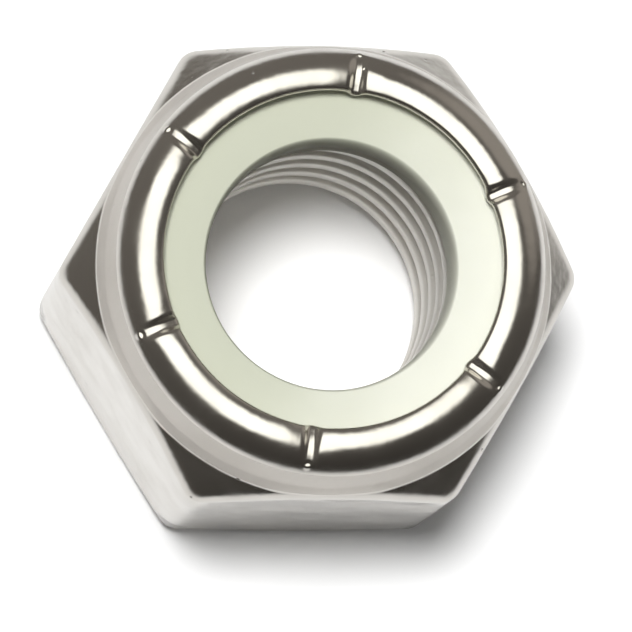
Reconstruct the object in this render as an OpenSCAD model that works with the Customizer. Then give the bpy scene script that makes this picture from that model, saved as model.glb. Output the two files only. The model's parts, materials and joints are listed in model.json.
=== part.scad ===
// Hexagon lock nut with a captive nylon ring, origin at the centre of its bearing face, +Z up the axis

/* [Hexagon] */
// Width across the flats
across_flats = 19.05; // [18.2:0.05:22]
// Height of the middle of each flat, from the bearing face
flat_height = 11.9; // [10:0.1:12.8]
// Radius of the six upright corner edges
corner_round = 0.8; // [0.2:0.1:2]
// Slope of the chamfer that cuts the upper corners
top_chamfer_angle = 48; // [30:1:60]
// Diameter of the round bearing face
bearing_d = 18.6; // [16.5:0.1:19]
// Slope of the chamfer round the bearing face
bottom_chamfer_angle = 30; // [15:1:45]

/* [Thread bore] */
// Diameter of the bore at the thread crests
bore_d = 10.8; // [9:0.1:11.6]
// Full diameter of the thread, which the bore's two mouths are opened to
thread_d = 12.7; // [12:0.1:13.4]
// How much wider than the thread the mouths are
mouth_extra = 0.4; // [0.1:0.1:0.8]
// Included angle of the cones at the two mouths
mouth_angle = 90; // [60:5:120]

/* [Rolled collar] */
// Height of the whole nut, from the bearing face to the collar's crown
nut_height = 15.1; // [14.6:0.1:17]
// Height of the shoulder, from the flats to the collar's wall
shoulder_height = 0.7; // [0.3:0.1:0.9]
// How far the shoulder steps in from the flats
shoulder_step = 0.32; // [0.2:0.02:0.5]
// Largest diameter of the collar's roll
collar_d = 17.86; // [17.4:0.02:18.2]
// Thickness of the collar's wall round the ring
collar_wall = 0.98; // [0.7:0.02:1.2]
// Radius of the roll, from its largest diameter up to the crown
roll_round = 1.34; // [1:0.02:1.6]
// How far the lip reaches in from the crown
lip_reach = 0.62; // [0.5:0.02:0.9]
// Thickness of the lip over the ring
lip_thick = 1.06; // [0.8:0.02:1.3]
// Radius of the lip's rounded nose
nose_round = 0.35; // [0.25:0.01:0.45]

/* [Crimps] */
// Number of crimps across the collar
crimp_count = 6; // [3:1:8]
// Turn of the first crimp from a corner of the hexagon
crimp_turn = 21.9; // [0:0.1:60]
// Width of a crimp at the collar's surface
crimp_width = 0.8; // [0.4:0.05:1.2]
// Depth of a crimp below the collar's surface
crimp_depth = 0.25; // [0.1:0.05:0.4]

/* [Nylon ring] */
// Thickness of the ring
ring_thick = 2.3; // [1.6:0.1:3]
// Diameter of the hole through the ring
ring_bore_d = 10.5; // [9.6:0.1:11.6]
// Bevel on the ring's edges
ring_bevel = 0.35; // [0.1:0.05:0.6]
// Room between the ring and the collar
ring_clearance = 0.04; // [0.02:0.01:0.1]

/* [Hidden] */
$fn = 96;

// Overshoot of a cut past the surface that it opens
over = 1;
// Sides of the hexagon
sides = 6;
// How far the nose's circle rises out of the roll's, so that the two cross
nose_rise = 0.03;
// Where the collar's wall runs out into the roll, as a turn up from the roll's middle, and how far inside it
wall_turn = 12;
wall_inset = 0.02;

flat_r = across_flats / 2;
sharp_corner_r = flat_r / cos(180 / sides);
bearing_r = bearing_d / 2;
collar_r = collar_d / 2;
bore_r = bore_d / 2;
mouth_r = (thread_d + mouth_extra) / 2;
mouth_depth = (mouth_r - bore_r) / tan(mouth_angle / 2);

crown_r = collar_r - roll_round;
roll_z = nut_height - roll_round;
lip_r = crown_r - lip_reach;
nose_r = lip_r + nose_round;
nose_z = roll_z + sqrt(pow(roll_round - nose_round, 2) - pow(crown_r - nose_r, 2)) + nose_rise;

ring_top = nut_height - lip_thick - ring_clearance;
seat_z = ring_top - ring_thick;
seat_r = collar_r - collar_wall;
ring_r = seat_r - ring_clearance;

crimp_tool_round = (pow(crimp_width / 2, 2) + pow(crimp_depth, 2)) / (2 * crimp_depth);
crimp_path_round = roll_round + crimp_tool_round - crimp_depth;

// Hexagonal bar with rounded upright edges, a corner on +X
module hexagon_bar(height) {
    inner_r = (flat_r - corner_round) / cos(180 / sides);
    half_side = (flat_r - corner_round) * tan(180 / sides);
    linear_extrude(height) {
        circle(r = inner_r, $fn = sides);
        for (k = [0 : sides - 1]) {
            rotate(k * 360 / sides) translate([inner_r, 0]) circle(r = corner_round);
            rotate((k + 0.5) * 360 / sides) translate([0, -half_side]) square([flat_r, 2 * half_side]);
        }
    }
}

// Half section of the turned outside: bearing face, chamfers, shoulder and the tapered wall up to the roll
module turned_outside() {
    out_r = sharp_corner_r + over;
    wall_round = roll_round - wall_inset;
    polygon([
        [0, 0],
        [bearing_r, 0],
        [out_r, (out_r - bearing_r) * tan(bottom_chamfer_angle)],
        [out_r, flat_height - (out_r - flat_r) * tan(top_chamfer_angle)],
        [flat_r, flat_height],
        [flat_r - shoulder_step, flat_height + shoulder_height],
        [crown_r + wall_round * cos(wall_turn), roll_z + wall_round * sin(wall_turn)],
        [crown_r, roll_z],
        [crown_r, seat_z + ring_thick / 2],
        [0, seat_z + ring_thick / 2]
    ]);
}

// Half section of the collar, rolled inwards to a round-nosed lip
module rolled_collar() {
    intersection() {
        translate([crown_r, roll_z]) circle(r = roll_round);
        union() {
            translate([nose_r, nose_z]) circle(r = nose_round);
            translate([nose_r, roll_z - roll_round]) square([2 * roll_round, 3 * roll_round]);
        }
    }
}

// Half section of everything open inside the steel: the bore, its two mouths and the ring's seat
module open_inside() {
    bevel = ring_bevel;
    polygon([
        [0, -over],
        [mouth_r + over * tan(mouth_angle / 2), -over],
        [bore_r, mouth_depth],
        [bore_r, seat_z - mouth_depth],
        [mouth_r, seat_z],
        [seat_r, seat_z],
        [seat_r, ring_top + ring_clearance - bevel],
        [seat_r - bevel, ring_top + ring_clearance],
        [lip_r - over, ring_top + ring_clearance],
        [lip_r - over, nut_height + over],
        [0, nut_height + over]
    ]);
}

// Rounded groove that wraps over the collar, from its lip to its foot, in the radial plane on +X
module crimp() {
    translate([crown_r, 0, roll_z])
        rotate([90, 0, 0])
            rotate_extrude(angle = 180) translate([crimp_path_round, 0]) circle(r = crimp_tool_round);
}

// Steel body: hexagon, shoulder and rolled collar in one piece
module nut_body() {
    color([0.74, 0.73, 0.71])
        difference() {
            intersection() {
                hexagon_bar(nut_height + over);
                rotate_extrude() union() {
                    turned_outside();
                    rolled_collar();
                }
            }
            rotate_extrude() open_inside();
            for (k = [0 : crimp_count - 1])
                rotate(crimp_turn + k * 360 / crimp_count) crimp();
        }
}

// Nylon ring that grips the bolt, seated on the steel under the collar's lip
module nylon_ring() {
    bore = ring_bore_d / 2;
    bevel = ring_bevel;
    color([0.89, 0.9, 0.84])
        rotate_extrude() polygon([
            [bore + bevel, seat_z],
            [ring_r, seat_z],
            [ring_r, ring_top - bevel],
            [ring_r - bevel, ring_top],
            [bore + bevel, ring_top],
            [bore, ring_top - bevel],
            [bore, seat_z + bevel]
        ]);
}

nut_body();
nylon_ring();
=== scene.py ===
"""Dressed scene of a hexagon lock nut: a bright steel body with a nylon ring under its crimped collar."""
import json
import logging
import math
from dataclasses import dataclass
from enum import Enum
from typing import Iterable

import bmesh
import bpy
from mathutils import Matrix, Vector


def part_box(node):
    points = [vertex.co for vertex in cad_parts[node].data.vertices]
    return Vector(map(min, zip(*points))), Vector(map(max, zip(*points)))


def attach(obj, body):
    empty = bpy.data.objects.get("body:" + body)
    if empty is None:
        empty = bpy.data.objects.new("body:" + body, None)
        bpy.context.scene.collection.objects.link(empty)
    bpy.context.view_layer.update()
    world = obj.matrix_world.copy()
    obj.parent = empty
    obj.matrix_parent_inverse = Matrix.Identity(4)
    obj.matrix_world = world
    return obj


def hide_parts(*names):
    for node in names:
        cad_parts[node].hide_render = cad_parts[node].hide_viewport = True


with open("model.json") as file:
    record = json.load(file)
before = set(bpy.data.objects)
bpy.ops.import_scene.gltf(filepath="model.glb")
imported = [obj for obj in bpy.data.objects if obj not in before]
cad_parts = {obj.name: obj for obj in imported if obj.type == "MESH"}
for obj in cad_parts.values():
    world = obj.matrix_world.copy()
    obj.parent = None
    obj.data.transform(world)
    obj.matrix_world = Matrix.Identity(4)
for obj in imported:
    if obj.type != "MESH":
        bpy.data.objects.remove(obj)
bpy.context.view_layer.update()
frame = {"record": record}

BODY = "root"
LOG = logging.getLogger("lock_nut")

# Metres in a millimetre, millimetres in an inch and turns of the thread in an inch
MM = 0.001
INCH = 25.4
THREADS_PER_INCH = 13
# A full turn, in radians and in degrees
TURN = 2.0 * math.pi
TURN_DEGREES = 360.0
# Sides of the hexagon, and crimps across the collar
SIDES = 6
SIDE_TURN = TURN / SIDES
# Steps that a turned surface has round the axis
COLUMNS = 360
# Turns of thread that are wound beyond the bore's length, so that none is missing at its ends
SPARE_TURNS = 2
# Distance under which two vertices are joined
MERGE_MM = 0.002
# Bend from which an edge is shaded as sharp
SHARP_ANGLE = math.radians(40.0)

Point = tuple[float, float]
Colour = tuple[float, float, float, float]
Tree = bpy.types.NodeTree
Socket = bpy.types.NodeSocket


class Slot(Enum):
    """Material slots of the record."""

    STEEL = "stainless_steel"
    NYLON = "nylon"


class Mixed(Enum):
    """What a mix node blends."""

    VALUE = "FLOAT"
    COLOUR = "RGBA"


@dataclass(frozen=True)
class Bend:
    """One arc of a bent line: its radius, the slope in degrees that it ends at, and its number of pieces.

    The slope is positive on the way outwards and negative on the way inwards.
    """

    radius: float
    slope: float
    steps: int


def linear(hex_colour: str) -> Colour:
    """Turns an sRGB hex colour to linear, by the curve of the sRGB standard.

    Args:
        hex_colour: six hex digits, such as "F0F0F0".

    Returns:
        Linear red, green and blue, and an alpha of 1.
    """
    shares = [int(hex_colour[at:at + 2], 16) / 255.0 for at in (0, 2, 4)]
    red, green, blue = (s / 12.92 if s <= 0.04045 else ((s + 0.055) / 1.055) ** 2.4 for s in shares)
    return red, green, blue, 1.0


def ramp(value: float, low: float, high: float) -> float:
    """Rises smoothly from 0 at low to 1 at high.

    Args:
        value: where the ramp is read.
        low: where it starts.
        high: where it ends, which may be below low.

    Returns:
        A share from 0 to 1.
    """
    share = min(max((value - low) / (high - low), 0.0), 1.0)
    return share * share * (3.0 - 2.0 * share)


def bell(offset: float, half_width: float) -> float:
    """Round bell, 1 at the middle and 0 from half_width outwards.

    Args:
        offset: distance from the middle.
        half_width: distance at which the bell ends.

    Returns:
        A share from 0 to 1.
    """
    share = min(abs(offset) / half_width, 1.0)
    return 0.5 + 0.5 * math.cos(math.pi * share)


def soft_min(first: float, second: float, blend: float) -> float:
    """Lower of two values, rounded where they cross.

    Args:
        first: one value.
        second: the other value.
        blend: difference over which the crossing is rounded.

    Returns:
        The rounded minimum.
    """
    share = max(blend - abs(first - second), 0.0) / blend
    return min(first, second) - share * share * blend / 4.0


def arc(centre: Point, radius: float, start: float, end: float, steps: int) -> list[Point]:
    """Points along an arc in the half plane of radius and height.

    Args:
        centre: radius and height of the arc's centre.
        radius: the arc's own radius.
        start: first angle in degrees, 0 outwards and 90 up.
        end: last angle in degrees.
        steps: number of pieces that the arc is cut into.

    Returns:
        steps + 1 points, both ends included.
    """
    angles = [math.radians(start + (end - start) * k / steps) for k in range(steps + 1)]
    return [(centre[0] + radius * math.cos(a), centre[1] + radius * math.sin(a)) for a in angles]


def bent_line(crown: Point, bends: Iterable[Bend]) -> list[Point]:
    """Points down one side of a crown, along arcs that run on from each other.

    Args:
        crown: radius and height of the top, where the surface is level.
        bends: the arcs, from the crown on.

    Returns:
        The points, the crown first.
    """
    points = [crown]
    slope = 0.0
    for bend in bends:
        across, up = points[-1]
        first = math.radians(slope)
        for k in range(1, bend.steps + 1):
            turn = math.radians(slope + (bend.slope - slope) * k / bend.steps)
            points.append((across + bend.radius * (math.sin(turn) - math.sin(first)),
                           up - bend.radius * (math.cos(first) - math.cos(turn))))
        slope = bend.slope
    return points


def rows(start: Point, end: Point, steps: int) -> list[Point]:
    """Points along a straight line, without its first point.

    Args:
        start: where the line starts.
        end: where it ends.
        steps: number of pieces that the line is cut into.

    Returns:
        steps points, the end included.
    """
    shares = [k / steps for k in range(1, steps + 1)]
    return [(start[0] + (end[0] - start[0]) * s, start[1] + (end[1] - start[1]) * s) for s in shares]


def draw_outline(bm: bmesh.types.BMesh, points: Iterable[Point], closed: bool = False) -> list:
    """Draws an outline as a wire in the plane of X and Z.

    Args:
        bm: mesh that gets the wire.
        points: radius and height of each point.
        closed: whether the last point joins the first.

    Returns:
        The wire's vertices and edges.
    """
    verts = [bm.verts.new((radius, 0.0, height)) for radius, height in points]
    pairs = list(zip(verts, verts[1:]))
    if closed:
        pairs.append((verts[-1], verts[0]))
    return verts + [bm.edges.new(pair) for pair in pairs]


def turn_outline(bm: bmesh.types.BMesh, points: Iterable[Point], closed: bool = False) -> None:
    """Turns an outline once round the Z axis.

    Args:
        bm: mesh that gets the turned surface.
        points: radius and height of each point.
        closed: whether the last point joins the first.
    """
    wire = draw_outline(bm, points, closed)
    bmesh.ops.spin(bm, geom=wire, cent=(0, 0, 0), axis=(0, 0, 1), angle=TURN, steps=COLUMNS, use_merge=True)


def finished_piece(name: str, bm: bmesh.types.BMesh, material: bpy.types.Material) -> bpy.types.Object:
    """Closes a mesh drawn in millimetres and makes it an object in metres.

    Args:
        name: the piece's name.
        bm: the mesh, which is freed.
        material: the piece's finish.

    Returns:
        The new object, at the origin.
    """
    bmesh.ops.remove_doubles(bm, verts=bm.verts, dist=MERGE_MM)
    bmesh.ops.recalc_face_normals(bm, faces=bm.faces)
    bmesh.ops.scale(bm, vec=Vector((MM, MM, MM)), verts=bm.verts)
    mesh = bpy.data.meshes.new(name)
    bm.to_mesh(mesh)
    bm.free()
    mesh.shade_smooth()
    mesh.set_sharp_from_angle(angle=SHARP_ANGLE)
    mesh.materials.append(material)
    piece = bpy.data.objects.new(name, mesh)
    bpy.context.scene.collection.objects.link(piece)
    return piece


def add_node(tree: Tree, kind: str, inputs: dict | None = None, **settings) -> bpy.types.Node:
    """Adds a node with its settings, values and links.

    Args:
        tree: node tree that gets the node.
        kind: the node's type name.
        inputs: for each input, a value or the output that feeds it.
        **settings: the node's own properties.

    Returns:
        The new node.
    """
    node = tree.nodes.new(kind)
    for key, value in settings.items():
        setattr(node, key, value)
    for key, value in (inputs or {}).items():
        if isinstance(value, Socket):
            tree.links.new(value, node.inputs[key])
        else:
            node.inputs[key].default_value = value
    return node


def noise(tree: Tree, place: Socket, size_mm: float, detail: float) -> Socket:
    """Adds cloudy noise.

    Args:
        tree: node tree that gets the noise.
        place: position at which it is read.
        size_mm: size of its patches in millimetres.
        detail: number of finer layers in it.

    Returns:
        The noise, from 0 to 1.
    """
    made = add_node(tree, "ShaderNodeTexNoise",
                    {"Vector": place, "Scale": 1.0 / (size_mm * MM), "Detail": detail})
    return made.outputs["Fac"]


def maths(tree: Tree, operation: str, *values: Socket | float) -> Socket:
    """Adds a sum, a product or a comparison.

    Args:
        tree: node tree that gets the node.
        operation: name of the operation.
        *values: what it works on, in order.

    Returns:
        The result.
    """
    made = add_node(tree, "ShaderNodeMath", dict(enumerate(values)), operation=operation)
    return made.outputs[0]


def mix(tree: Tree, share: Socket, first: Socket | Colour | float, second: Socket | Colour | float,
        kind: Mixed = Mixed.VALUE) -> Socket:
    """Blends two values or colours.

    Args:
        tree: node tree that gets the mix.
        share: share of the second.
        first: what shows at a share of 0.
        second: what shows at a share of 1.
        kind: what is blended.

    Returns:
        The blend.
    """
    made = add_node(tree, "ShaderNodeMix", {"Factor": share, "A": first, "B": second}, data_type=kind.value)
    return made.outputs["Result"]


def bump(tree: Tree, height: Socket, depth_mm: float, **inputs: Socket) -> Socket:
    """Lays a relief over a surface.

    Args:
        tree: node tree that gets the relief.
        height: the relief's map, from 0 to 1.
        depth_mm: its full height in millimetres.
        **inputs: the node's other inputs, such as the normal that it is laid over.

    Returns:
        The new normal.
    """
    made = add_node(tree, "ShaderNodeBump", {"Height": height, "Distance": depth_mm * MM, **inputs})
    return made.outputs["Normal"]


def new_material(name: str) -> bpy.types.Material:
    """Makes a material with an empty node tree.

    Args:
        name: the real material's name.

    Returns:
        The material.
    """
    material = bpy.data.materials.new(name)
    material.use_nodes = True
    material.node_tree.nodes.clear()
    return material


@dataclass(frozen=True)
class BrightSteel:
    """Stainless steel, cold-formed, turned and tumbled: mirror-like, a little wavy, with turning lines."""

    name: str = "bright_stainless_steel"
    # Tumbled outside: a warm grey mirror with slightly duller clouds
    colour: str = "D8D5CF"
    worn_colour: str = "CCC8C1"
    smooth: float = 0.13
    dull: float = 0.26
    cloud_mm: float = 2.2
    cloud_low: float = 0.35
    cloud_high: float = 0.7
    # Turned shoulder and wall: duller, with lines round the axis, drawn coarser than real so that they show
    turned_colour: str = "CFCAC3"
    machined: float = 0.42
    line_mm: float = 0.16
    line_depth_mm: float = 0.002
    line_low_mm: float = 12.0
    line_high_mm: float = 14.1
    # Tapped bore: its cut faces scatter light, so it looks pale and less like a mirror, with painted shade
    # that darkens it towards the roots
    bore_mm: float = 6.9
    tapped: float = 0.42
    tapped_metal: float = 0.4
    tapped_colour: str = "E6E3DD"
    painted_root_shade_colour: str = "9A958E"
    crest_mm: float = 5.5
    root_mm: float = 6.3
    # Relief left by tumbling: slow waves, and a peel and pits drawn coarser than real so that they show
    wave_mm: float = 2.0
    wave_depth_mm: float = 0.02
    peel_mm: float = 0.45
    peel_depth_mm: float = 0.008
    pit_mm: float = 1.3
    pit_radius_mm: float = 0.11
    pit_depth_mm: float = 0.03

    def turned_zone(self, tree: Tree, height: Socket) -> Socket:
        """Marks the turned shoulder and wall.

        Args:
            tree: the material's node tree.
            height: height of the surface.

        Returns:
            1 in the turned zone and 0 elsewhere.
        """
        above = maths(tree, "GREATER_THAN", height, self.line_low_mm * MM)
        below = maths(tree, "LESS_THAN", height, self.line_high_mm * MM)
        return maths(tree, "MULTIPLY", above, below)

    def tint(self, tree: Tree, clouds: Socket, turned: Socket, bore: Socket, radius: Socket) -> Socket:
        """Colours the tumbled outside, the turned zone and the tapped bore, with painted shade towards the
        thread's roots.

        Args:
            tree: the material's node tree.
            clouds: the tumbled outside's clouds.
            turned: 1 in the turned zone.
            bore: 1 in the bore.
            radius: distance of the surface from the axis.

        Returns:
            The steel's colour.
        """
        tumbled = mix(tree, clouds, linear(self.colour), linear(self.worn_colour), Mixed.COLOUR)
        outer = mix(tree, turned, tumbled, linear(self.turned_colour), Mixed.COLOUR)
        # Painted shade: the thread darkens from its crests to its roots
        deep = add_node(tree, "ShaderNodeMapRange",
                        {"Value": radius, "From Min": self.crest_mm * MM, "From Max": self.root_mm * MM})
        thread = mix(tree, deep.outputs["Result"], linear(self.tapped_colour), linear(self.painted_root_shade_colour),
                     Mixed.COLOUR)
        return mix(tree, bore, outer, thread, Mixed.COLOUR)

    def roughness(self, tree: Tree, clouds: Socket, turned: Socket, bore: Socket) -> Socket:
        """Sets how dull each zone is.

        Args:
            tree: the material's node tree.
            clouds: the tumbled outside's clouds.
            turned: 1 in the turned zone.
            bore: 1 in the bore.

        Returns:
            The steel's roughness.
        """
        tumbled = add_node(tree, "ShaderNodeMapRange",
                           {"Value": clouds, "From Min": self.cloud_low, "From Max": self.cloud_high,
                            "To Min": self.smooth, "To Max": self.dull})
        outer = mix(tree, turned, tumbled.outputs["Result"], self.machined)
        return mix(tree, bore, outer, self.tapped)

    def relief(self, tree: Tree, place: Socket, height: Socket, turned: Socket) -> Socket:
        """Lays waves, peel, pits and turning lines over each other.

        Args:
            tree: the material's node tree.
            place: position of the surface.
            height: its height.
            turned: 1 in the turned zone, which alone has lines.

        Returns:
            The surface's normal.
        """
        pits = add_node(tree, "ShaderNodeTexVoronoi", {"Vector": place, "Scale": 1.0 / (self.pit_mm * MM)})
        hollow = add_node(tree, "ShaderNodeMapRange",
                          {"Value": pits.outputs["Distance"], "From Max": self.pit_radius_mm / self.pit_mm},
                          interpolation_type="SMOOTHSTEP")
        lines = add_node(tree, "ShaderNodeTexNoise",
                         {"W": height, "Scale": 1.0 / (self.line_mm * MM), "Detail": 1.0},
                         noise_dimensions="1D")
        wavy = bump(tree, noise(tree, place, self.wave_mm, detail=1.0), self.wave_depth_mm)
        peeled = bump(tree, noise(tree, place, self.peel_mm, detail=1.0), self.peel_depth_mm, Normal=wavy)
        pitted = bump(tree, hollow.outputs["Result"], self.pit_depth_mm, Normal=peeled)
        return bump(tree, lines.outputs["Fac"], self.line_depth_mm, Normal=pitted, Strength=turned)

    def material(self) -> bpy.types.Material:
        """Builds the node material.

        Returns:
            The material.
        """
        made = new_material(self.name)
        tree = made.node_tree
        place = add_node(tree, "ShaderNodeTexCoord").outputs["Object"]
        height = add_node(tree, "ShaderNodeSeparateXYZ", {"Vector": place}).outputs["Z"]
        level = add_node(tree, "ShaderNodeVectorMath", {0: place, 1: (1.0, 1.0, 0.0)}, operation="MULTIPLY")
        radius = add_node(tree, "ShaderNodeVectorMath", {0: level.outputs["Vector"]},
                          operation="LENGTH").outputs["Value"]
        bore = maths(tree, "LESS_THAN", radius, self.bore_mm * MM)
        turned = self.turned_zone(tree, height)
        clouds = noise(tree, place, self.cloud_mm, detail=3.0)
        shader = add_node(tree, "ShaderNodeBsdfPrincipled",
                          {"Base Color": self.tint(tree, clouds, turned, bore, radius),
                           "Metallic": mix(tree, bore, 1.0, self.tapped_metal),
                           "Roughness": self.roughness(tree, clouds, turned, bore),
                           "Normal": self.relief(tree, place, height, turned)})
        add_node(tree, "ShaderNodeOutputMaterial", {"Surface": shader.outputs["BSDF"]})
        return made


@dataclass(frozen=True)
class NaturalNylon:
    """Natural nylon, moulded: milky off-white, a little see-through at its edges, with a soft sheen."""

    name: str = "natural_nylon"
    # Off-white, made lighter towards one side by painted light, with cloudy borders
    colour: str = "CDD0BD"
    painted_lit_colour: str = "F0F1E4"
    painted_lit_from_mm: float = -1.5
    painted_lit_to_mm: float = 9.0
    painted_lit_azimuth: float = 338.0
    cloud_mm: float = 3.0
    drift_mm: float = 3.0
    # Wall of the hole: painted shade, darker low down, and left off on the side that the painted light makes
    # lighter
    painted_hole_shade_colour: str = "7F7C66"
    hole_shade_full_mm: float = 12.6
    hole_shade_end_mm: float = 13.95
    hole_shade_side_from_mm: float = 1.0
    hole_shade_side_to_mm: float = 5.2
    # Soft sheen, and light that spreads a little under the surface
    rough: float = 0.6
    ior: float = 1.53
    sheen: float = 0.2
    glow: float = 0.05
    glow_mm: float = 0.25
    glow_spread: tuple[float, float, float] = (1.0, 1.0, 0.8)
    # Moulded grain, drawn coarser than real so that it shows
    grain_mm: float = 0.25
    grain_depth_mm: float = 0.004

    def tint(self, tree: Tree, place: Socket) -> Socket:
        """Colours the ring lighter towards one side with painted light, and paints shade on the wall of its
        hole.

        Args:
            tree: the material's node tree.
            place: position of the surface.

        Returns:
            The nylon's colour.
        """
        # Painted light: the ring's colour grows lighter towards one side
        turn = math.radians(self.painted_lit_azimuth)
        side = add_node(tree, "ShaderNodeVectorMath", {0: place, 1: (math.cos(turn), math.sin(turn), 0.0)},
                        operation="DOT_PRODUCT").outputs["Value"]
        clouds = noise(tree, place, self.cloud_mm, detail=2.0)
        drift = maths(tree, "MULTIPLY_ADD", clouds, self.drift_mm * MM, side)
        lit_share = add_node(tree, "ShaderNodeMapRange",
                         {"Value": drift, "From Min": self.painted_lit_from_mm * MM,
                          "From Max": self.painted_lit_to_mm * MM}, interpolation_type="SMOOTHSTEP")
        face = mix(tree, lit_share.outputs["Result"], linear(self.colour), linear(self.painted_lit_colour),
                   Mixed.COLOUR)
        # Painted shade on the hole's wall, fading out towards its top and towards the lighter side
        height = add_node(tree, "ShaderNodeSeparateXYZ", {"Vector": place}).outputs["Z"]
        upper = add_node(tree, "ShaderNodeMapRange",
                         {"Value": height, "From Min": self.hole_shade_full_mm * MM,
                          "From Max": self.hole_shade_end_mm * MM})
        lit = add_node(tree, "ShaderNodeMapRange",
                       {"Value": side, "From Min": self.hole_shade_side_from_mm * MM, "From Max": self.hole_shade_side_to_mm * MM})
        clear = maths(tree, "MAXIMUM", upper.outputs["Result"], lit.outputs["Result"])
        return mix(tree, clear, linear(self.painted_hole_shade_colour), face, Mixed.COLOUR)

    def material(self) -> bpy.types.Material:
        """Builds the node material.

        Returns:
            The material.
        """
        made = new_material(self.name)
        tree = made.node_tree
        place = add_node(tree, "ShaderNodeTexCoord").outputs["Object"]
        grain = noise(tree, place, self.grain_mm, detail=2.0)
        shader = add_node(tree, "ShaderNodeBsdfPrincipled",
                          {"Base Color": self.tint(tree, place), "Roughness": self.rough, "IOR": self.ior,
                           "Specular IOR Level": self.sheen, "Subsurface Weight": self.glow,
                           "Subsurface Radius": self.glow_spread, "Subsurface Scale": self.glow_mm * MM,
                           "Normal": bump(tree, grain, self.grain_depth_mm)})
        add_node(tree, "ShaderNodeOutputMaterial", {"Surface": shader.outputs["BSDF"]})
        return made


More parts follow.
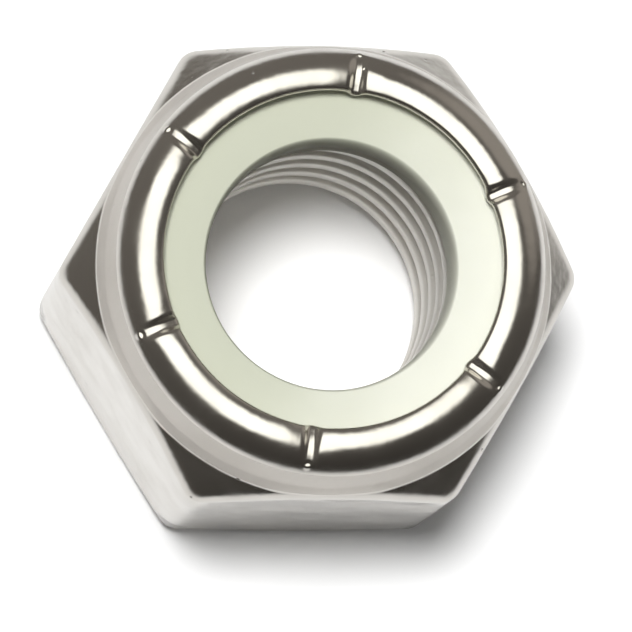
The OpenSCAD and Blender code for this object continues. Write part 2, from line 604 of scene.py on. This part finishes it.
@dataclass
class NutBody:
    """Steel body: hexagon, shoulder, rolled collar with its crimps, and threaded bore, in one closed mesh.

    Sizes are in millimetres. Those without a value come from the frame.
    """

    height: float
    flat_r: float
    seat_z: float
    ring_top: float
    bore_r: float
    # Hexagon and bearing face
    corner_round: float = 0.8
    edge_blend: float = 0.42
    flat_height: float = 11.9
    chamfer_angle: float = 48.0
    bearing_r: float = 9.3
    bearing_angle: float = 30.0
    bearing_band: float = 0.2
    bar_margin: float = 0.05
    # Bore and thread
    mouth_r: float = 6.55
    root_r: float = 6.35
    pitch: float = INCH / THREADS_PER_INCH
    flank_angle: float = 30.0
    crest_width: float = 0.95
    crest_soft: float = 0.15
    crest_bow: float = 0.3
    crest_height: float = 2.1
    crest_azimuth: float = 48.0
    # Collar from its crown outwards, down to the waist above the flats
    crown_r: float = 7.594
    crown_round: float = 1.156
    crown_turn: float = 23.0
    roll_round: float = 1.55
    roll_turn: float = 66.0
    wall_round: float = 0.8
    wall_turn: float = 78.5
    waist_r: float = 9.2
    waist_z: float = 12.6
    # Collar from its crown inwards, round the lip's nose and down to the ring's seat
    inner_round: float = 1.3
    inner_turn: float = 20.0
    nose_round: float = 0.22
    nose_turn: float = 90.0
    under_round: float = 0.35
    under_turn: float = 150.0
    under_r: float = 7.25
    lip_reach: float = 0.62
    lip_clearance: float = 0.04
    seat_r: float = 7.95
    seat_bevel: float = 0.35
    # Crimps: a groove in a wider dent, a mark at its foot and a tongue at the lip
    crimp_turn: float = 21.9
    crimp_foot_r: float = 8.65
    groove_half: float = 0.42
    groove_flat: float = 0.08
    groove_depth: float = 0.22
    dent_half: float = 1.2
    dent_depth: float = 0.12
    press_low: float = 0.1
    press_high: float = 0.2
    mark_r: float = 8.6
    mark_lift: float = 0.68
    mark_flat: float = 0.07
    mark_half: float = 0.2
    tongue: float = 0.1
    tongue_half: float = 0.5
    tongue_reach: float = 0.3
    # How far the mesh's columns are drawn together at the corners and at the crimps, and where
    corner_draw: float = 0.8
    corner_draw_r: float = 9.0
    corner_draw_high: float = 13.3
    corner_draw_low: float = 12.3
    crimp_draw: float = 0.75
    crimp_draw_low: float = 12.4
    crimp_draw_high: float = 13.6

    @classmethod
    def from_frame(cls) -> "NutBody":
        """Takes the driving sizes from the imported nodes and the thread's mount.

        Returns:
            The body, with the other sizes as given above.
        """
        body_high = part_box("nut_body")[1] / MM
        ring_low, ring_high = (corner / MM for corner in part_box("nylon_ring"))
        thread = next(m for m in frame["record"]["mounts"] if m["name"] == "thread")
        return cls(height=body_high.z, flat_r=body_high.y, seat_z=ring_low.z, ring_top=ring_high.z,
                   bore_r=thread["dims"]["r_mm"])

    def outside(self) -> list[Point]:
        """Outline of the turned outside, from the lower mouth to the upper one.

        Returns:
            Radius and height of each point, before the flats and crimps are pressed in.
        """
        out_r = self.flat_r / math.cos(SIDE_TURN / 2) + self.bar_margin
        low_z = (out_r - self.bearing_r) * math.tan(math.radians(self.bearing_angle))
        high_z = self.flat_height - (out_r - self.flat_r) * math.tan(math.radians(self.chamfer_angle))
        lip_z = self.ring_top + self.lip_clearance
        crown = (self.crown_r, self.height)
        points = [(self.mouth_r, 0.0), (self.bearing_r - self.bearing_band, 0.0), (self.bearing_r, 0.0)]
        points += rows(points[-1], (out_r, low_z), steps=20)
        points += rows(points[-1], (out_r, high_z), steps=6)
        points += rows(points[-1], (self.flat_r, self.flat_height), steps=36)
        points += rows(points[-1], (self.waist_r, self.waist_z), steps=8)
        dome = bent_line(crown, [Bend(self.crown_round, self.crown_turn, steps=8),
                                 Bend(self.roll_round, self.roll_turn, steps=24),
                                 Bend(self.wall_round, self.wall_turn, steps=4)])
        points += rows(points[-1], dome[-1], steps=6)
        points += reversed(dome[:-1])
        nose = bent_line(crown, [Bend(self.inner_round, -self.inner_turn, steps=8),
                                 Bend(self.nose_round, -self.nose_turn, steps=8),
                                 Bend(self.under_round, -self.under_turn, steps=6)])
        points += nose[1:]
        points += rows(points[-1], (self.under_r, lip_z), steps=3)
        points += [(self.seat_r - self.seat_bevel, lip_z), (self.seat_r, lip_z - self.seat_bevel)]
        points += rows(points[-1], (self.seat_r, self.seat_z), steps=3)
        points += [(self.mouth_r, self.seat_z)]
        return points

    def hexagon_r(self, azimuth: float) -> float:
        """Radius of the hexagon with rounded corners.

        Args:
            azimuth: angle round the axis, 0 at a corner.

        Returns:
            Distance from the axis to the hexagon's side.
        """
        from_corner = abs((azimuth + SIDE_TURN / 2) % SIDE_TURN - SIDE_TURN / 2)
        centre_r = (self.flat_r - self.corner_round) / math.cos(SIDE_TURN / 2)
        half_side = (self.flat_r - self.corner_round) * math.tan(SIDE_TURN / 2)
        if from_corner > SIDE_TURN / 2 - math.atan(half_side / self.flat_r):
            return self.flat_r / math.cos(SIDE_TURN / 2 - from_corner)
        sideways = centre_r * math.sin(from_corner)
        return centre_r * math.cos(from_corner) + math.sqrt(self.corner_round ** 2 - sideways ** 2)

    def drawn_azimuth(self, azimuth: float, radius: float, height: float) -> float:
        """Draws the mesh's columns together at the corners of the hexagon and at the crimps.

        Args:
            azimuth: angle of an even column.
            radius: the vertex's distance from the axis.
            height: the vertex's height.

        Returns:
            The column's new angle.
        """
        corners = self.corner_draw * ramp(radius, self.mouth_r, self.corner_draw_r)
        corners *= ramp(height, self.corner_draw_high, self.corner_draw_low)
        crimps = self.crimp_draw * ramp(height, self.crimp_draw_low, self.crimp_draw_high)
        turned = azimuth - math.radians(self.crimp_turn)
        return azimuth - (corners * math.sin(SIDES * azimuth) + crimps * math.sin(SIDES * turned)) / SIDES

    def crimped(self, azimuth: float, radius: float, height: float) -> Point:
        """Presses the six crimps across the collar and pushes the lip in at each of them.

        Args:
            azimuth: the vertex's angle round the axis.
            radius: its distance from the axis.
            height: its height.

        Returns:
            The new radius and height.
        """
        first = math.radians(self.crimp_turn)
        aside = radius * ((azimuth - first + SIDE_TURN / 2) % SIDE_TURN - SIDE_TURN / 2)
        lip_r = self.crown_r - self.lip_reach
        reach = min(max((radius - lip_r) / (self.crimp_foot_r - lip_r), 0.0), 1.0)
        dent = self.dent_depth * bell(aside, self.dent_half)
        groove = self.groove_depth * ramp(abs(aside), self.groove_half, self.groove_flat)
        pressed = (dent + groove) * (1.0 - reach * reach)
        pressed *= ramp(height, self.ring_top + self.press_low, self.height - self.press_high)
        tongue = self.tongue * bell(aside, self.tongue_half) * ramp(radius, lip_r + self.tongue_reach, lip_r)
        beyond = radius - self.mark_r
        mark = self.mark_lift * beyond * ramp(math.hypot(aside, beyond), self.mark_half, self.mark_flat)
        return radius - tongue, height - pressed + mark

    def press_outside(self, bm: bmesh.types.BMesh) -> None:
        """Moves the turned surface to the hexagon's flats and into the crimps.

        Args:
            bm: mesh that holds the turned outside alone.
        """
        for vert in bm.verts:
            radius = math.hypot(vert.co.x, vert.co.y)
            height = vert.co.z
            azimuth = self.drawn_azimuth(math.atan2(vert.co.y, vert.co.x), radius, height)
            if height < self.waist_z:
                radius = soft_min(radius, self.hexagon_r(azimuth), self.edge_blend)
            elif height > self.ring_top - self.seat_bevel - self.lip_clearance and radius > self.bore_r:
                radius, height = self.crimped(azimuth, radius, height)
            vert.co = (radius * math.cos(azimuth), radius * math.sin(azimuth), height)

    def thread_outline(self) -> list[Point]:
        """Outline of one turn of the thread, from the middle of a crest to the middle of the next.

        Returns:
            Radius and height of each point, the height from the first crest.
        """
        depth = self.root_r - self.bore_r
        slope = math.tan(math.radians(self.flank_angle))
        flank = depth * slope
        edge = self.crest_width / 2
        soft = self.crest_soft
        rise = soft * slope
        low = [(self.bore_r, 0.0), (self.bore_r, edge - soft), (self.bore_r + soft * self.crest_bow, edge),
               (self.bore_r + soft, edge + rise), (self.root_r - soft, edge + flank - rise),
               (self.root_r, edge + flank + soft)]
        high = [(radius, self.pitch - height) for radius, height in reversed(low)]
        return low + high

    def cut_thread(self, bm: bmesh.types.BMesh) -> None:
        """Winds the thread through the bore and opens it at the two mouths.

        Args:
            bm: mesh that gets the thread.
        """
        turns = math.ceil(self.seat_z / self.pitch) + SPARE_TURNS
        at_zero = (self.crest_height - self.pitch * self.crest_azimuth / TURN_DEGREES) % self.pitch
        start = at_zero - SPARE_TURNS * self.pitch
        wire = draw_outline(bm, [(radius, start + height) for radius, height in self.thread_outline()])
        bmesh.ops.spin(bm, geom=wire, cent=(0, 0, 0), axis=(0, 0, 1), dvec=(0, 0, self.pitch / COLUMNS),
                       angle=TURN, steps=COLUMNS)
        one_turn = bm.verts[:] + bm.edges[:] + bm.faces[:]
        for turn in range(1, turns):
            copied = bmesh.ops.duplicate(bm, geom=one_turn)["geom"]
            verts = [part for part in copied if isinstance(part, bmesh.types.BMVert)]
            bmesh.ops.translate(bm, vec=(0, 0, turn * self.pitch), verts=verts)
        step = TURN / COLUMNS
        mouth_depth = self.mouth_r - self.bore_r
        for vert in bm.verts:
            azimuth = round(math.atan2(vert.co.y, vert.co.x) / step) * step
            height = min(max(vert.co.z, 0.0), self.seat_z)
            open_r = self.bore_r + mouth_depth - min(height, self.seat_z - height, mouth_depth)
            radius = max(math.hypot(vert.co.x, vert.co.y), open_r)
            vert.co = (radius * math.cos(azimuth), radius * math.sin(azimuth), height)

    def build(self, steel: bpy.types.Material) -> bpy.types.Object:
        """Builds the closed steel body.

        Args:
            steel: the body's finish.

        Returns:
            The piece that stands for the CAD body.
        """
        bm = bmesh.new()
        self.cut_thread(bm)
        thread = bpy.data.meshes.new("thread")
        bm.to_mesh(thread)
        bm.clear()
        turn_outline(bm, self.outside())
        self.press_outside(bm)
        bm.from_mesh(thread)
        bpy.data.meshes.remove(thread)
        piece = finished_piece("steel_body", bm, steel)
        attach(piece, BODY)
        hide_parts("nut_body")
        return piece


@dataclass
class NylonRing:
    """Nylon ring under the collar's lip, with a hole that is a little smaller than the bolt.

    Sizes are in millimetres. Those without a value come from the frame.
    """

    ring_r: float
    low_z: float
    high_z: float
    bore_r: float = 5.12
    edge_round: float = 0.35
    mouth_wide: float = 0.2
    mouth_deep: float = 0.9
    hole_drop: float = 0.12

    @classmethod
    def from_frame(cls) -> "NylonRing":
        """Takes the ring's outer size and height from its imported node."""
        low, high = (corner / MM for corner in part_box("nylon_ring"))
        return cls(ring_r=high.x, low_z=low.z, high_z=high.z)

    def outline(self) -> list[Point]:
        """Section of the ring, with rounded edges at its hole.

        Returns:
            Radius and height of each point, once round the section.
        """
        soft = self.edge_round
        wide, deep = self.mouth_wide, self.mouth_deep
        points = [(self.ring_r, self.low_z), (self.ring_r, self.high_z - soft),
                  (self.ring_r - soft, self.high_z)]
        points += [(self.bore_r + wide * (1.0 + across), self.high_z - deep * (1.0 - up))
                   for across, up in arc((0.0, 0.0), 1.0, start=90.0, end=180.0, steps=16)]
        points += arc((self.bore_r + soft, self.low_z + soft), soft, start=180.0, end=270.0, steps=8)
        return points

    def build(self, nylon: bpy.types.Material) -> bpy.types.Object:
        """Builds the closed ring.

        Args:
            nylon: the ring's finish.

        Returns:
            The piece that stands for the CAD ring.
        """
        bm = bmesh.new()
        turn_outline(bm, self.outline(), closed=True)
        middle_r = (self.bore_r + self.ring_r) / 2
        hole = [vert for vert in bm.verts if math.hypot(vert.co.x, vert.co.y) < middle_r]
        bmesh.ops.translate(bm, vec=(0.0, -self.hole_drop, 0.0), verts=hole)
        piece = finished_piece("nylon_insert", bm, nylon)
        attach(piece, BODY)
        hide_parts("nylon_ring")
        return piece


@dataclass
class Studio:
    """Plain pale floor, soft overhead light, a dark room for the steel to mirror, and the camera.

    Sizes are in millimetres and angles in degrees.
    """

    # Floor: its own white, and a brighter one that the camera alone sees
    floor_colour: str = "FAFAFA"
    floor_shown: float = 1.12
    floor_half: float = 3000.0
    # Two round lamps overhead: a wide softbox, shown to the steel by the room, and a key lamp near its middle
    lamp_away: float = 600.0
    box_half: float = 31.6
    box_zenith: float = 10.2
    box_azimuth: float = 147.0
    box_soft: float = 7.0
    box_glow: float = 1.75
    box_colour: str = "FFFFF8"
    box_light: float = 0.11
    key_half: float = 7.5
    key_zenith: float = 10.1
    key_azimuth: float = 143.5
    key_light: float = 0.86
    # Dark room: its floor fades in between the near and the far radius, and its walls are lighter on one side
    room_low: float = 0.5
    room_near: float = 26.0
    room_far: float = 62.0
    room_radius: float = 1500.0
    room_colour: str = "FFF6EC"
    room_dark: float = 0.05
    room_light: float = 0.19
    room_azimuth: float = 105.0
    # Pale wall low on one side, which shows in the collar and the flats
    wall_glow: float = 0.36
    wall_zenith: float = 72.0
    wall_azimuth: float = 35.0
    wall_inner: float = 12.0
    wall_outer: float = 40.0
    ambient: float = 0.05
    # Camera, as fitted to the photograph's edges
    azimuth: float = -42.5164
    elevation: float = 78.0394
    roll: float = 42.2885
    distance: float = 236.126
    aim: tuple[float, float, float] = (0.503, -0.972, 5.715)
    focal_px: float = 5559.54
    image_px: float = 632.0
    sensor: float = 36.0

    def floor(self) -> None:
        """Lays the pale floor under the nut."""
        bm = bmesh.new()
        bmesh.ops.create_grid(bm, x_segments=1, y_segments=1, size=self.floor_half)
        paper = new_material("white_paper")
        tree = paper.node_tree
        seen = add_node(tree, "ShaderNodeLightPath").outputs["Is Camera Ray"]
        shade = add_node(tree, "ShaderNodeMapRange",
                         {"Value": seen, "To Min": linear(self.floor_colour)[0], "To Max": self.floor_shown})
        shader = add_node(tree, "ShaderNodeBsdfDiffuse", {"Color": shade.outputs["Result"]})
        add_node(tree, "ShaderNodeOutputMaterial", {"Surface": shader.outputs["BSDF"]})
        finished_piece("floor", bm, paper)

    def toward(self, zenith: float, azimuth: float) -> Vector:
        """Unit direction at an angle from straight up and round the nut, both in degrees."""
        tilt, around = math.radians(zenith), math.radians(azimuth)
        return Vector((math.sin(tilt) * math.cos(around), math.sin(tilt) * math.sin(around), math.cos(tilt)))

    def glow(self, tree: Tree, way: Socket, axis: Vector, inner: float, outer: float, level: float) -> Socket:
        """Adds a round glow to the room.

        Args:
            tree: the room's node tree.
            way: direction from the nut to the room.
            axis: direction of the glow's middle.
            inner: angle from the middle, in degrees, up to which the glow is full.
            outer: angle from the middle, in degrees, at which it ends.
            level: its strength.

        Returns:
            The glow's strength in each direction.
        """
        near = add_node(tree, "ShaderNodeVectorMath", {0: way, 1: axis}, operation="DOT_PRODUCT")
        share = add_node(tree, "ShaderNodeMapRange",
                         {"Value": near.outputs["Value"], "From Min": math.cos(math.radians(outer)),
                          "From Max": math.cos(math.radians(inner)), "To Max": level},
                         interpolation_type="SMOOTHSTEP")
        return share.outputs["Result"]

    def room(self) -> None:
        """Stands a dark room with a bright zone overhead round the nut, which only reflections see."""
        bm = bmesh.new()
        floor = [(radius, self.room_low) for radius in (self.room_near, self.room_far, self.room_radius)]
        dome = arc((0.0, self.room_low), self.room_radius, start=0.0, end=90.0, steps=24)
        turn_outline(bm, floor + dome[1:])
        made = new_material("dark_room")
        tree = made.node_tree
        place = add_node(tree, "ShaderNodeTexCoord").outputs["Object"]
        way = add_node(tree, "ShaderNodeVectorMath", {0: place}, operation="NORMALIZE").outputs["Vector"]
        away = add_node(tree, "ShaderNodeVectorMath", {0: place}, operation="LENGTH")
        share = add_node(tree, "ShaderNodeMapRange",
                         {"Value": away.outputs["Value"], "From Min": self.room_near * MM,
                          "From Max": self.room_far * MM}, interpolation_type="SMOOTHSTEP")
        lighter = self.toward(zenith=90.0, azimuth=self.room_azimuth)
        side = add_node(tree, "ShaderNodeVectorMath", {0: way, 1: lighter}, operation="DOT_PRODUCT")
        walls = add_node(tree, "ShaderNodeMapRange",
                         {"Value": side.outputs["Value"], "From Min": -1.0, "To Min": self.room_dark,
                          "To Max": self.room_light})
        box = self.glow(tree, way, self.toward(self.box_zenith, self.box_azimuth), level=self.box_glow,
                        inner=self.box_half - self.box_soft, outer=self.box_half + self.box_soft)
        wall = self.glow(tree, way, self.toward(self.wall_zenith, self.wall_azimuth), level=self.wall_glow,
                         inner=self.wall_inner, outer=self.wall_outer)
        level = maths(tree, "MAXIMUM", wall, walls.outputs["Result"])
        clear = add_node(tree, "ShaderNodeBsdfTransparent")
        dim = add_node(tree, "ShaderNodeEmission", {"Color": linear(self.room_colour), "Strength": level})
        bright = add_node(tree, "ShaderNodeEmission", {"Color": linear(self.box_colour), "Strength": box})
        shown = add_node(tree, "ShaderNodeAddShader",
                         {0: dim.outputs["Emission"], 1: bright.outputs["Emission"]})
        shader = add_node(tree, "ShaderNodeMixShader",
                          {0: share.outputs["Result"], 1: clear.outputs["BSDF"], 2: shown.outputs["Shader"]})
        add_node(tree, "ShaderNodeOutputMaterial", {"Surface": shader.outputs["Shader"]})
        walls_of_room = finished_piece("room", bm, made)
        walls_of_room.visible_camera = False
        walls_of_room.visible_diffuse = False
        walls_of_room.visible_transmission = False
        walls_of_room.visible_shadow = False

    def lamp(self, name: str, half: float, zenith: float, azimuth: float, light: float) -> None:
        """Hangs a round lamp that faces the nut and isn't mirrored.

        Args:
            name: the lamp's name.
            half: half the angle that it covers, seen from the nut, in degrees.
            zenith: its angle from straight up, in degrees.
            azimuth: its direction round the nut, in degrees.
            light: its share of the light that shows a white floor as white.
        """
        radius = self.lamp_away * math.tan(math.radians(half))
        glow = light / (math.sin(math.radians(half)) ** 2 * math.cos(math.radians(zenith)))
        data = bpy.data.lights.new(name, "AREA")
        data.shape = "DISK"
        data.size = 2.0 * radius * MM
        data.energy = glow * math.pi * math.pi * (radius * MM) ** 2
        made = bpy.data.objects.new(name, data)
        place = self.toward(zenith, azimuth)
        made.location = place * self.lamp_away * MM
        made.rotation_euler = place.to_track_quat("Z", "Y").to_euler()
        made.visible_camera = False
        made.visible_glossy = False
        bpy.context.scene.collection.objects.link(made)
        LOG.info("%s: radiance %.2f", name, glow)

    def light(self) -> None:
        """Hangs the wide softbox and the key lamp near its middle."""
        self.lamp("softbox", self.box_half, self.box_zenith, self.box_azimuth, self.box_light)
        self.lamp("key", self.key_half, self.key_zenith, self.key_azimuth, self.key_light)

    def world(self) -> None:
        """Makes the surroundings white to the eye and in reflections, and dimmer as light."""
        world = bpy.data.worlds.new("studio")
        world.use_nodes = True
        tree = world.node_tree
        tree.nodes.clear()
        path = add_node(tree, "ShaderNodeLightPath").outputs
        seen = maths(tree, "MAXIMUM", path["Is Camera Ray"], path["Is Glossy Ray"])
        shown = maths(tree, "MAXIMUM", seen, path["Is Transmission Ray"])
        strength = add_node(tree, "ShaderNodeMapRange", {"Value": shown, "To Min": self.ambient})
        light = add_node(tree, "ShaderNodeBackground",
                         {"Color": (1.0, 1.0, 1.0, 1.0), "Strength": strength.outputs["Result"]})
        add_node(tree, "ShaderNodeOutputWorld", {"Surface": light.outputs["Background"]})
        bpy.context.scene.world = world

    def camera(self) -> None:
        """Sets the camera at the photograph's viewing angle."""
        lens = bpy.data.cameras.new("camera")
        lens.sensor_width = self.sensor
        lens.lens = self.focal_px / self.image_px * self.sensor
        lens.clip_start = MM
        around, above, rolled = (math.radians(a) for a in (self.azimuth, self.elevation, self.roll))
        back = Vector((math.sin(around) * math.cos(above), -math.cos(around) * math.cos(above),
                       math.sin(above)))
        level = Vector((math.cos(around), math.sin(around), 0.0))
        upright = back.cross(level)
        right = math.cos(rolled) * level + math.sin(rolled) * upright
        up = back.cross(right)
        turned = Matrix((right, up, back)).transposed().to_4x4()
        place = (Vector(self.aim) + self.distance * back) * MM
        camera = bpy.data.objects.new("camera", lens)
        camera.matrix_world = Matrix.Translation(place) @ turned
        bpy.context.scene.collection.objects.link(camera)
        bpy.context.scene.camera = camera

    def build(self) -> None:
        """Sets up the floor, the light and the camera."""
        self.floor()
        self.room()
        self.light()
        self.world()
        self.camera()
        bpy.context.scene.view_settings.view_transform = "Standard"


def main() -> None:
    """Builds the studio and the two pieces, and reports each piece."""
    logging.basicConfig(level=logging.INFO, format="%(message)s")
    Studio().build()
    pieces = [NutBody.from_frame().build(BrightSteel().material()),
              NylonRing.from_frame().build(NaturalNylon().material())]
    for piece in pieces:
        LOG.info("%s: %d vertices, %d faces", piece.name, len(piece.data.vertices), len(piece.data.polygons))


if __name__ == "__main__":
    main()
